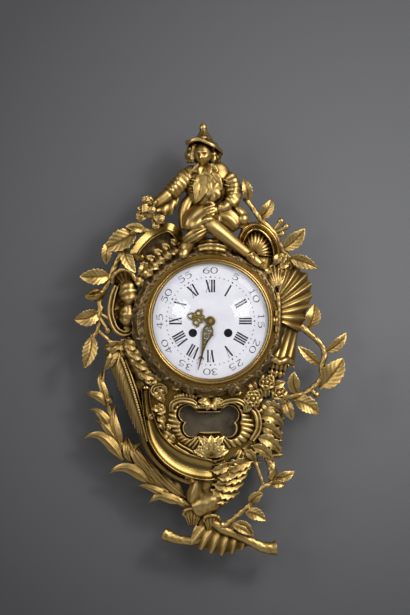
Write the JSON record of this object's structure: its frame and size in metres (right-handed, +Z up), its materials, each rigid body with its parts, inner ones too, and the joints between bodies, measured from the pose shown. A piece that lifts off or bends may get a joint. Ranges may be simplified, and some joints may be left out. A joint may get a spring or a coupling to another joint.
{
  "type": "cartel clock",
  "caption": "Gilt bronze cartel wall clock: a scrolled, leafy case with a seated figure, an enamel dial behind a hinged glazed bezel, and a striking pendulum movement.",
  "frame": {"origin": "centre of the hanging hole, on the wall plane", "axes": "+Z up, +Y into the wall, so the dial faces -Y, and +X to the right as one reads the dial"},
  "size_m": [0.4069, 0.1146, 0.6476],
  "materials": {
    "gilt_bronze": "mercury gilt, burnished on the scrolls and matt in the hollows",
    "matted_gilt": "matt, rubbed and browned",
    "brass": "lacquered, grained",
    "steel": "polished",
    "enamel": "glossy white with black figures",
    "clear_glass": "polished"
  },
  "bodies": {
    "case": {"back_plate": "gilt_bronze", "case_shell": "gilt_bronze", "dial_surround": "matted_gilt", "waist_panel": "gilt_bronze", "window_frame": "gilt_bronze", "window_glass": "clear_glass", "crest_left": "gilt_bronze", "crest_right": "gilt_bronze", "figure": "gilt_bronze", "left_branch": "gilt_bronze", "right_branch": "gilt_bronze", "left_volute": "gilt_bronze", "feather_wing": "gilt_bronze", "polished_scroll": "gilt_bronze", "palm_frond": "gilt_bronze", "right_shell": "gilt_bronze", "right_twig": "gilt_bronze", "flower_cluster": "gilt_bronze", "right_rocaille": "gilt_bronze", "tail_casting": "gilt_bronze", "tail_twig": "gilt_bronze", "back_screws": "steel", "hinge_base": "gilt_bronze", "hinge_pin": "steel", "dial_plate": "brass", "dial": "enamel", "front_plate": "brass", "rear_plate": "brass", "pillars": "brass", "back_cock": "brass", "bell": "brass", "bell_stand": "steel"},
    "bezel_door": {"bezel_ring": "gilt_bronze", "dial_glass": "clear_glass"},
    "rear_cover": {"rear_cover": "brass"},
    "centre": {"centre_wheel": "brass", "minute_hand": "gilt_bronze", "hand_nut": "brass"},
    "hour": {"hour_wheel": "brass", "hour_hand": "gilt_bronze"},
    "minute_work": {"minute_wheel": "brass"},
    "intermediate": {"intermediate_wheel": "brass"},
    "going_barrel": {"going_barrel": "brass", "going_mainspring": "steel"},
    "third": {"third_wheel": "brass"},
    "escape": {"escape_wheel": "brass"},
    "strike_barrel": {"strike_barrel": "brass", "strike_mainspring": "steel"},
    "strike_second": {"strike_wheel": "brass", "count_wheel": "brass"},
    "pin": {"pin_wheel": "brass"},
    "fly": {"fly": "brass"},
    "going_winding": {"going_arbor": "steel"},
    "strike_winding": {"strike_arbor": "steel"},
    "pendulum": {"suspension_spring": "steel", "pendulum_rod": "steel", "pendulum_bob": "brass", "rating_nut": "brass"},
    "anchor": {"anchor": "steel"},
    "hammer": {"hammer": "steel"}
  },
  "joints": [
    {"name": "minute_hand_turn", "type": "hinge", "parent": "case", "child": "centre", "pos_m": [0, -0.0645, -0.08], "axis": [0, 1, 0], "continuous": true},
    {"name": "hour_hand_turn", "type": "hinge", "parent": "case", "child": "hour", "pos_m": [0, -0.0645, -0.08], "axis": [0, 1, 0], "continuous": true},
    {"name": "minute_wheel_turn", "type": "hinge", "parent": "case", "child": "minute_work", "pos_m": [0.0084, -0.0645, -0.06545], "axis": [0, 1, 0], "continuous": true},
    {"name": "intermediate_turn", "type": "hinge", "parent": "case", "child": "intermediate", "pos_m": [0.01823, -0.0645, -0.06979], "axis": [0, 1, 0], "continuous": true},
    {"name": "going_barrel_turn", "type": "hinge", "parent": "case", "child": "going_barrel", "pos_m": [0.0265, -0.0645, -0.098], "axis": [0, 1, 0], "continuous": true},
    {"name": "third_wheel_turn", "type": "hinge", "parent": "case", "child": "third", "pos_m": [-0.01075, -0.0645, -0.06337], "axis": [0, 1, 0], "continuous": true},
    {"name": "escape_wheel_turn", "type": "hinge", "parent": "case", "child": "escape", "pos_m": [0, -0.0645, -0.053], "axis": [0, 1, 0], "continuous": true},
    {"name": "pin_wheel_turn", "type": "hinge", "parent": "case", "child": "pin", "pos_m": [-0.02662, -0.0645, -0.05045], "axis": [0, 1, 0], "continuous": true},
    {"name": "strike_wheel_turn", "type": "hinge", "parent": "case", "child": "strike_second", "pos_m": [-0.03161, -0.0645, -0.06905], "axis": [0, 1, 0], "continuous": true},
    {"name": "strike_barrel_turn", "type": "hinge", "parent": "case", "child": "strike_barrel", "pos_m": [-0.0265, -0.0645, -0.098], "axis": [0, 1, 0], "continuous": true},
    {"name": "fly_turn", "type": "hinge", "parent": "case", "child": "fly", "pos_m": [-0.01493, -0.0645, -0.0437], "axis": [0, 1, 0], "continuous": true},
    {"name": "going_winding", "type": "hinge", "parent": "case", "child": "going_winding", "pos_m": [0.0265, -0.0645, -0.098], "axis": [0, 1, 0], "range_deg": [0, 1440]},
    {"name": "strike_winding", "type": "hinge", "parent": "case", "child": "strike_winding", "pos_m": [-0.0265, -0.0645, -0.098], "axis": [0, 1, 0], "range_deg": [0, 1440]},
    {"name": "pendulum_swing", "type": "hinge", "parent": "case", "child": "pendulum", "pos_m": [0, -0.028, -0.04], "axis": [0, 1, 0], "range_deg": [-4, 4]},
    {"name": "anchor_rock", "type": "hinge", "parent": "case", "child": "anchor", "pos_m": [0, -0.0645, -0.04], "axis": [0, 1, 0], "range_deg": [-4, 4]},
    {"name": "bezel_hinge", "type": "hinge", "parent": "case", "child": "bezel_door", "pos_m": [0.099, -0.1016, -0.08], "axis": [0, 0, 1], "range_deg": [0, 110]},
    {"name": "hammer_swing", "type": "hinge", "parent": "case", "child": "hammer", "pos_m": [-0.046, -0.0645, -0.052], "axis": [0, 1, 0], "range_deg": [0, 10], "stiffness_Nm_per_rad": 0.02, "springref_deg": -11.46},
    {"name": "rear_cover_pull", "type": "slide", "parent": "case", "child": "rear_cover", "axis": [0, 1, 0], "range_m": [0, 0.06]}
  ],
  "couplings": [
    {"joint": "hour_hand_turn", "follows": "minute_hand_turn", "ratio": 0.083333},
    {"joint": "minute_wheel_turn", "follows": "minute_hand_turn", "ratio": -0.33333},
    {"joint": "intermediate_turn", "follows": "minute_hand_turn", "ratio": -0.1875},
    {"joint": "going_barrel_turn", "follows": "minute_hand_turn", "ratio": 0.03125},
    {"joint": "third_wheel_turn", "follows": "minute_hand_turn", "ratio": -10},
    {"joint": "escape_wheel_turn", "follows": "minute_hand_turn", "ratio": 93.75},
    {"joint": "strike_wheel_turn", "follows": "pin_wheel_turn", "ratio": -0.16667},
    {"joint": "strike_barrel_turn", "follows": "pin_wheel_turn", "ratio": 0.027778},
    {"joint": "fly_turn", "follows": "pin_wheel_turn", "ratio": -5},
    {"joint": "anchor_rock", "follows": "pendulum_swing", "ratio": 1}
  ]
}
